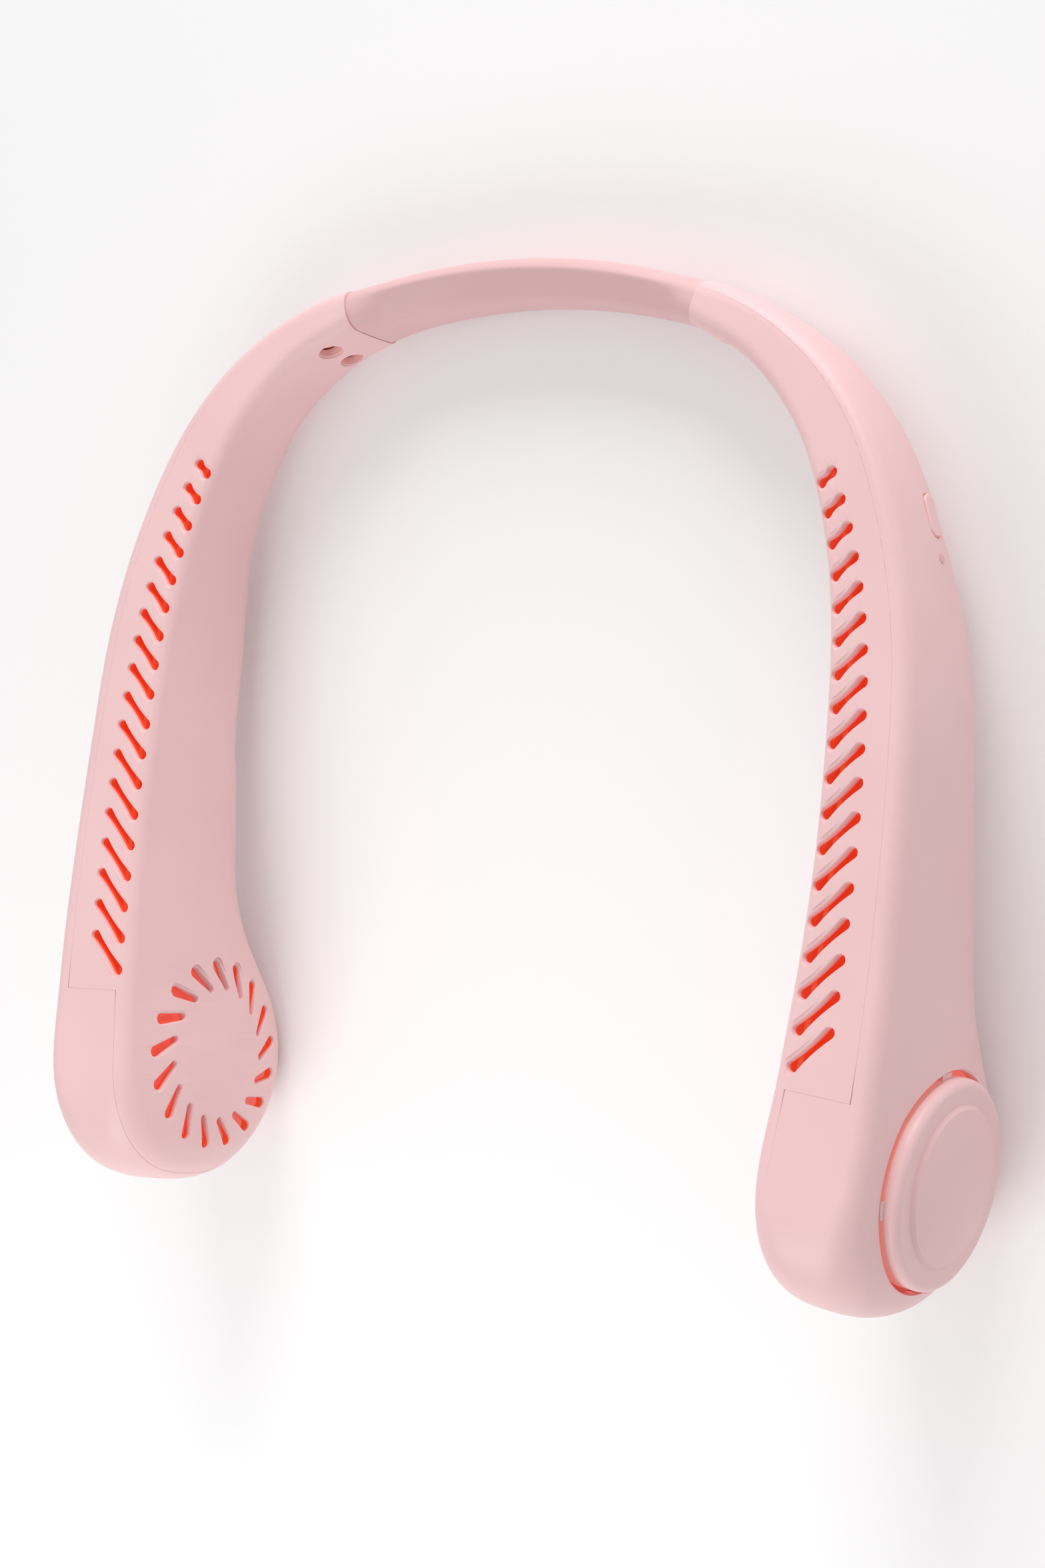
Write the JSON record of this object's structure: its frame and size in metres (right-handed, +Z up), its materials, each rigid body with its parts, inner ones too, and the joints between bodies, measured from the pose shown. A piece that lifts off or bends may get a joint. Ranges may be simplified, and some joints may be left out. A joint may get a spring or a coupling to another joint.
{
  "type": "electric neck fan",
  "caption": "U-shaped neck fan: hollow arms with slotted tops end in round heads that each hold a vented centrifugal fan, joined by a soft springy band.",
  "frame": {"origin": "centre of the footprint, on the table that the fan lies on", "axes": "+X from the left head to the right head, +Y from the heads to the neck band, +Z up from the table; the slotted faces look up, tipped back by the lie of the fan on its heads and band"},
  "size_m": [0.1998, 0.187, 0.0529],
  "materials": {
    "shell": "satin moulded",
    "cap": "satin moulded",
    "band": "soft satin silicone",
    "duct": "moulded",
    "impeller": "moulded",
    "shaft_steel": "ground",
    "magnet": "sintered ferrite",
    "yoke_steel": "deep drawn",
    "core_steel": "coated laminations",
    "winding": "enamelled copper wire",
    "motor_base": "die cast",
    "bearing": "sintered bronze",
    "cell": "foil pouch",
    "screw_steel": "zinc plated",
    "cable": "insulated",
    "board": "solder mask",
    "switch": "moulded",
    "button": "satin moulded",
    "lens": "clear window",
    "socket": "stamped"
  },
  "bodies": {
    "left_side": {"left_inner_shell": "shell", "left_outer_shell": "shell", "left_intake_cap": "cap", "left_air_duct": "duct", "left_stator_core": "core_steel", "left_stator_windings": "winding", "left_motor_base": "motor_base", "left_shaft_bearing": "bearing", "left_battery_cell": "cell", "left_band_screws": "screw_steel", "neck_band": "band", "neck_cable": "cable"},
    "right_side": {"right_inner_shell": "shell", "right_outer_shell": "shell", "right_intake_cap": "cap", "right_air_duct": "duct", "right_stator_core": "core_steel", "right_stator_windings": "winding", "right_motor_base": "motor_base", "right_shaft_bearing": "bearing", "right_battery_cell": "cell", "right_band_screws": "screw_steel", "main_circuit_board": "board", "tactile_switch": "switch", "indicator_lens": "lens", "usb_socket": "socket"},
    "left_rotor": {"left_impeller": "impeller", "left_motor_shaft": "shaft_steel", "left_magnet_ring": "magnet", "left_rotor_yoke": "yoke_steel"},
    "right_rotor": {"right_impeller": "impeller", "right_motor_shaft": "shaft_steel", "right_magnet_ring": "magnet", "right_rotor_yoke": "yoke_steel"},
    "power_button": {"power_button": "button"}
  },
  "joints": [
    {"name": "neck_flex", "type": "hinge", "parent": "left_side", "child": "right_side", "pos_m": [0, 0.08872, 0.00826], "axis": [0, 0.2222, 0.975], "range_deg": [-8, 30], "stiffness_Nm_per_rad": 0.5, "deforming": ["neck_band", "neck_cable"]},
    {"name": "left_fan_spin", "type": "hinge", "parent": "left_side", "child": "left_rotor", "pos_m": [-0.0834, -0.06742, 0.0261], "axis": [-0.9957, -0.0904, 0.0206], "continuous": true},
    {"name": "right_fan_spin", "type": "hinge", "parent": "right_side", "child": "right_rotor", "pos_m": [0.0834, -0.06742, 0.0261], "axis": [0.9957, -0.0904, 0.0206], "continuous": true},
    {"name": "power_button_press", "type": "slide", "parent": "right_side", "child": "power_button", "axis": [-0.9436, -0.3229, 0.0736], "range_m": [0, 0.0005], "stiffness_N_per_m": 800}
  ]
}
